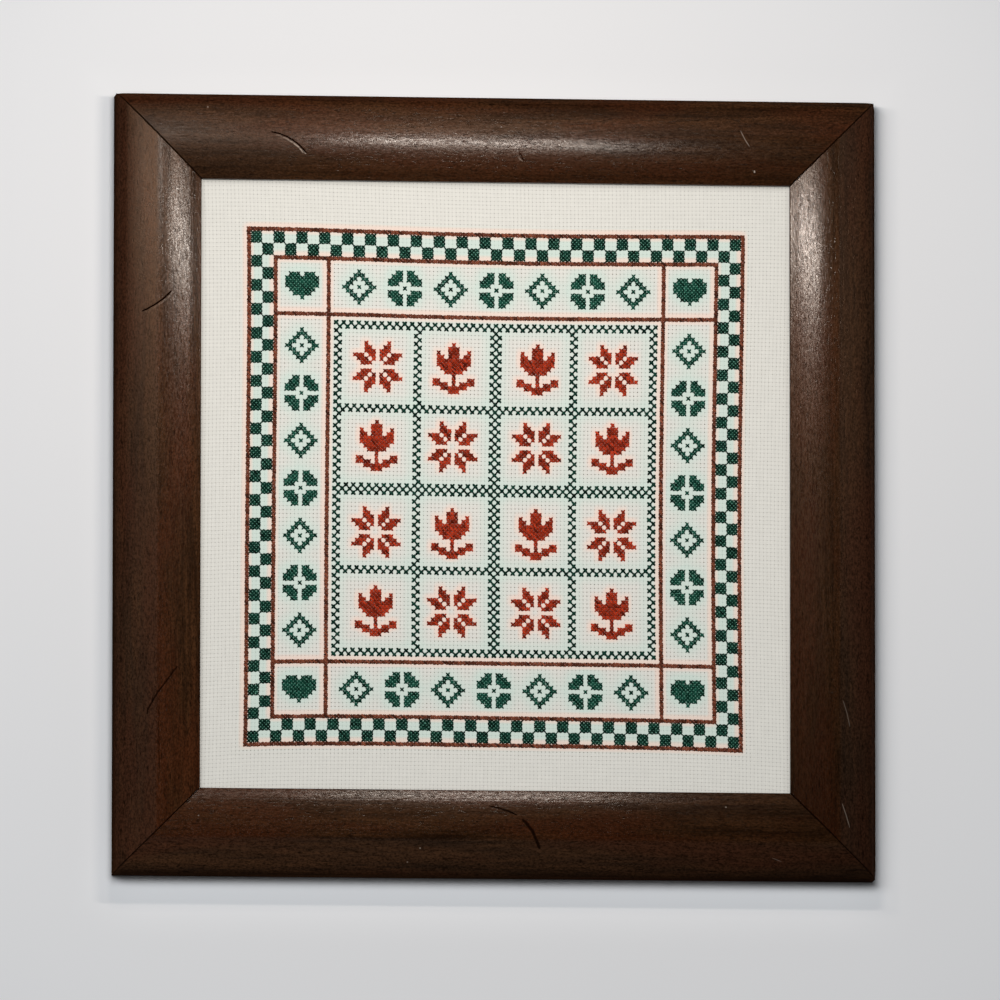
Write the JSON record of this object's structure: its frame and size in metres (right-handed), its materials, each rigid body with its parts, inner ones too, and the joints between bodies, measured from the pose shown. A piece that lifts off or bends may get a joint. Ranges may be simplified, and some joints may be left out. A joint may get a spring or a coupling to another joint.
{
  "type": "framed cross stitch sampler with wooden picture frame",
  "caption": "Flat stitched cloth held in a square-cornered wooden picture frame with rounded mitred rails and a backing board.",
  "frame": {"origin": "middle of the frame's flat back", "axes": "+Z out of the picture's face, +Y to the picture's top, +X to its right as seen from the front"},
  "size_m": [0.3556, 0.365, 0.019],
  "materials": {
    "walnut_wood": "satin",
    "cream_cotton": "matte",
    "green_thread": "satin",
    "rust_thread": "satin",
    "grey_card": "matte"
  },
  "bodies": {
    "root": {"rail_bottom": "walnut_wood", "rail_right": "walnut_wood", "rail_top": "walnut_wood", "rail_left": "walnut_wood", "stitched_cloth": "cream_cotton", "backing_board": "grey_card"}
  },
  "joints": []
}
